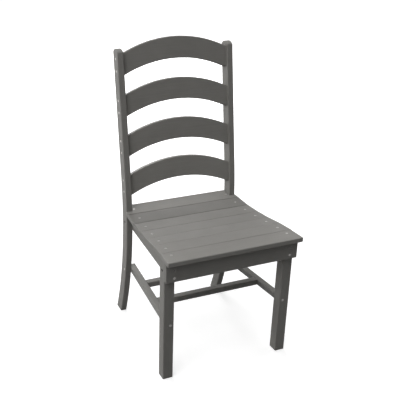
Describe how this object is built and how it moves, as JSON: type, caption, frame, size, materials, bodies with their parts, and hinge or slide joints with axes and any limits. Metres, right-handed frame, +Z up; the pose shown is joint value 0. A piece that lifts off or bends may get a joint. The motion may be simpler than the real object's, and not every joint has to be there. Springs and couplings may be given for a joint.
{
  "type": "dining side chair",
  "caption": "Armless ladder-back dining chair sawn from grey plastic lumber, with arched back slats, a scooped plank seat, curved rear posts and low stretchers.",
  "frame": {"origin": "on the floor, under the middle of the chair's width and depth", "axes": "+Z up, -Y the way the sitter faces, +X to the sitter's left hand"},
  "size_m": [0.4796, 0.5386, 1.0354],
  "materials": {
    "lumber": "matte, faint grain",
    "stainless": "satin",
    "bolt_black": "satin black"
  },
  "bodies": {
    "root": {"rear_post_left": "lumber", "rear_post_right": "lumber", "back_slat_1": "lumber", "back_slat_2": "lumber", "back_slat_3": "lumber", "back_slat_4": "lumber", "front_leg_left": "lumber", "front_leg_right": "lumber", "front_apron": "lumber", "side_rail_left": "lumber", "side_rail_right": "lumber", "seat_board_1": "lumber", "seat_board_2": "lumber", "seat_board_3": "lumber", "seat_board_4": "lumber", "seat_board_5": "lumber", "seat_board_6": "lumber", "seat_board_7": "lumber", "side_stretcher_left": "lumber", "side_stretcher_right": "lumber", "cross_stretcher_front": "lumber", "cross_stretcher_rear": "lumber", "seat_screws": "stainless", "slat_screws": "stainless", "apron_screws": "stainless", "leg_stretcher_screws": "stainless", "post_stretcher_screws": "stainless", "rail_bolts": "bolt_black"}
  },
  "joints": []
}
